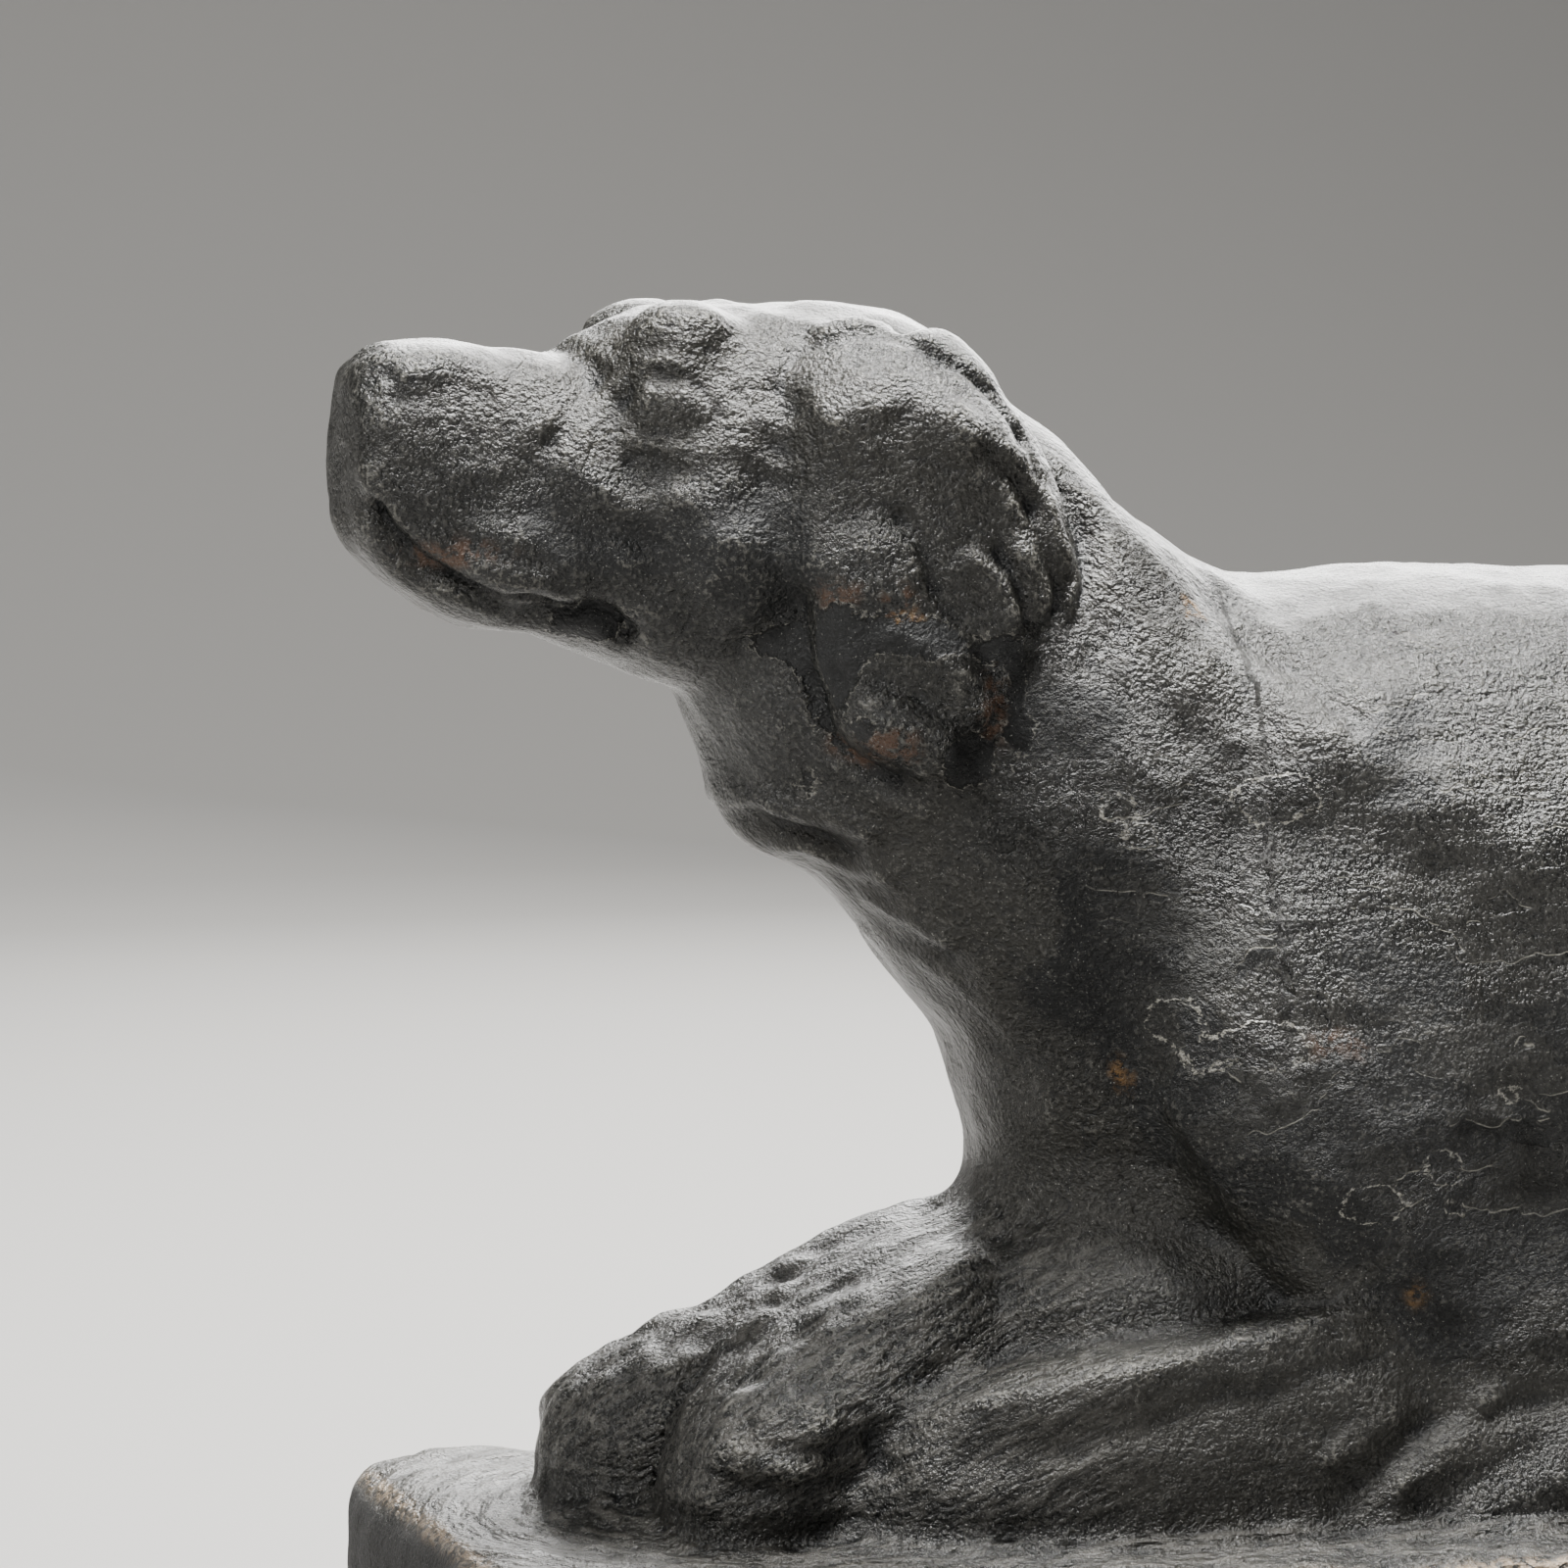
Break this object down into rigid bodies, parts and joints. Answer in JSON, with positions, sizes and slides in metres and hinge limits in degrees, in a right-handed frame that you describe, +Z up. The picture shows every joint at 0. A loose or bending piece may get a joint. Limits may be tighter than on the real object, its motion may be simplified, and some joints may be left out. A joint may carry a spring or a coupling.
{
  "type": "cast iron dog doorstop",
  "caption": "Heavy cast iron doorstop in the form of a lying hound with hanging ears, paws forward, on a low rectangular plinth with rounded corners.",
  "frame": {"origin": "centre of the plinth's flat underside", "axes": "+X along the plinth towards the rump, so the nose points to -X; +Y across, towards the dog's right side; +Z up"},
  "size_m": [0.3428, 0.13, 0.1957],
  "materials": {
    "black_painted_iron": "old thick black paint, semi-gloss, rubbed grey on the high places, flaked and pitted on the flank, with a few brown rust spots"
  },
  "bodies": {
    "root": {"dog_doorstop": "black_painted_iron"}
  },
  "joints": []
}
